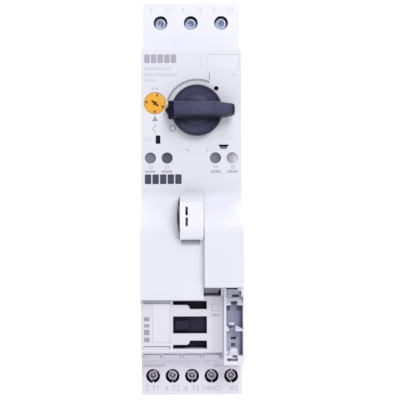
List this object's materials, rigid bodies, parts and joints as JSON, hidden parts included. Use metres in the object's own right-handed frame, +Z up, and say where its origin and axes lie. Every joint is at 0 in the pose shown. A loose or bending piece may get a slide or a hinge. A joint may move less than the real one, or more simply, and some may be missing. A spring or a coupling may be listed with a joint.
{
  "type": "motor protection breaker",
  "caption": "Rail-mounted motor starter: rotary motor protection breaker with a setting dial above, a plug-in link with a release tab, and a contactor with screw terminals below.",
  "frame": {"origin": "middle of the breaker's rail seat, the flat land that rests on the front of a 35 mm rail", "axes": "+X to the right seen from the front, +Y to the rear (towards the rail), +Z up; the front faces -Y"},
  "size_m": [0.0451, 0.086, 0.1825],
  "materials": {
    "housing_plastic": "fine matt moulding, cool off-white",
    "contactor_plastic": "fine matt moulding, slightly greyer off-white",
    "black_plastic": "satin near-black moulding",
    "dial_plastic": "warm orange-yellow moulding",
    "label_plastic": "smooth white label",
    "zinc_screw": "bluish zinc plating, scuffed",
    "clamp_steel": "zinc-plated sheet steel",
    "copper": "bare copper alloy",
    "coil_winding": "enamelled copper wire",
    "contact_silver": "silver alloy contact",
    "magnet_iron": "laminated core iron",
    "spring_steel": "spring wire"
  },
  "bodies": {
    "starter_frame": {"breaker_base": "housing_plastic", "breaker_cover": "housing_plastic", "marking_label": "label_plastic", "line_screw_1": "zinc_screw", "line_screw_2": "zinc_screw", "line_screw_3": "zinc_screw", "line_clamp_1": "clamp_steel", "line_clamp_2": "clamp_steel", "line_clamp_3": "clamp_steel", "load_screw_1": "zinc_screw", "load_screw_2": "zinc_screw", "load_screw_3": "zinc_screw", "trip_coil_1": "coil_winding", "trip_coil_2": "coil_winding", "trip_coil_3": "coil_winding", "bimetal_1": "copper", "bimetal_2": "copper", "bimetal_3": "copper", "link_cover": "housing_plastic", "link_base": "housing_plastic", "link_conductor_1": "copper", "link_conductor_2": "copper", "link_conductor_3": "copper", "contactor_base": "contactor_plastic", "contactor_housing": "contactor_plastic", "contactor_front": "contactor_plastic", "nameplate": "label_plastic", "contactor_screw_1": "zinc_screw", "contactor_screw_2": "zinc_screw", "contactor_screw_3": "zinc_screw", "contactor_screw_4": "zinc_screw", "contactor_screw_5": "zinc_screw", "contactor_clamp_1": "clamp_steel", "contactor_clamp_2": "clamp_steel", "contactor_clamp_3": "clamp_steel", "contactor_clamp_4": "clamp_steel", "contactor_clamp_5": "clamp_steel", "magnet_core": "magnet_iron", "coil": "coil_winding", "return_spring_1": "spring_steel", "return_spring_2": "spring_steel"},
    "knob": {"rotary_knob": "black_plastic", "knob_shaft": "black_plastic"},
    "padlock": {"padlock_slide": "black_plastic"},
    "dial": {"setting_dial": "dial_plastic"},
    "trip_release": {"trip_bar": "black_plastic", "test_slider": "black_plastic"},
    "breaker_contacts": {"breaker_carrier": "black_plastic", "breaker_bridge_1": "contact_silver", "breaker_bridge_2": "contact_silver", "breaker_bridge_3": "contact_silver"},
    "breaker_rail_clip": {"rail_clip": "black_plastic"},
    "lower_rail_clip": {"contactor_clip": "black_plastic"},
    "release_tab": {"release_slide": "housing_plastic"},
    "contactor_moving": {"contact_carrier": "black_plastic", "armature": "magnet_iron", "contact_bridge_1": "contact_silver", "contact_bridge_2": "contact_silver", "contact_bridge_3": "contact_silver", "contact_bridge_4": "contact_silver"}
  },
  "joints": [
    {"name": "knob_turn", "type": "hinge", "parent": "starter_frame", "child": "knob", "pos_m": [0.0026, -0.065, -0.0052], "axis": [0, 1, 0], "range_deg": [0, 90]},
    {"name": "padlock_pull", "type": "slide", "parent": "knob", "child": "padlock", "axis": [1, 0, 0], "range_m": [0, 0.005]},
    {"name": "dial_turn", "type": "hinge", "parent": "starter_frame", "child": "dial", "pos_m": [-0.0161, -0.06, -0.0019], "axis": [0, 1, 0], "range_deg": [-30, 240]},
    {"name": "trip_travel", "type": "slide", "parent": "starter_frame", "child": "trip_release", "axis": [1, 0, 0], "range_m": [0, 0.0015], "stiffness_N_per_m": 300, "springref_m": -0.002},
    {"name": "breaker_contact_travel", "type": "slide", "parent": "starter_frame", "child": "breaker_contacts", "axis": [0, 1, 0], "range_m": [0, 0.003]},
    {"name": "breaker_clip_slide", "type": "slide", "parent": "starter_frame", "child": "breaker_rail_clip", "axis": [0, 0, -1], "range_m": [0, 0.004], "stiffness_N_per_m": 500, "springref_m": -0.004},
    {"name": "contactor_clip_slide", "type": "slide", "parent": "starter_frame", "child": "lower_rail_clip", "axis": [0, 0, -1], "range_m": [0, 0.004], "stiffness_N_per_m": 500, "springref_m": -0.004},
    {"name": "release_tab_travel", "type": "slide", "parent": "starter_frame", "child": "release_tab", "axis": [0, 0, -1], "range_m": [0, 0.003], "stiffness_N_per_m": 400, "springref_m": -0.002},
    {"name": "contactor_travel", "type": "slide", "parent": "starter_frame", "child": "contactor_moving", "axis": [0, 1, 0], "range_m": [0, 0.004], "stiffness_N_per_m": 300, "springref_m": -0.003, "deforming": ["return_spring_1", "return_spring_2"]}
  ],
  "couplings": [
    {"joint": "knob_turn", "follows": "breaker_contact_travel", "rad_per_m": 523.59}
  ]
}
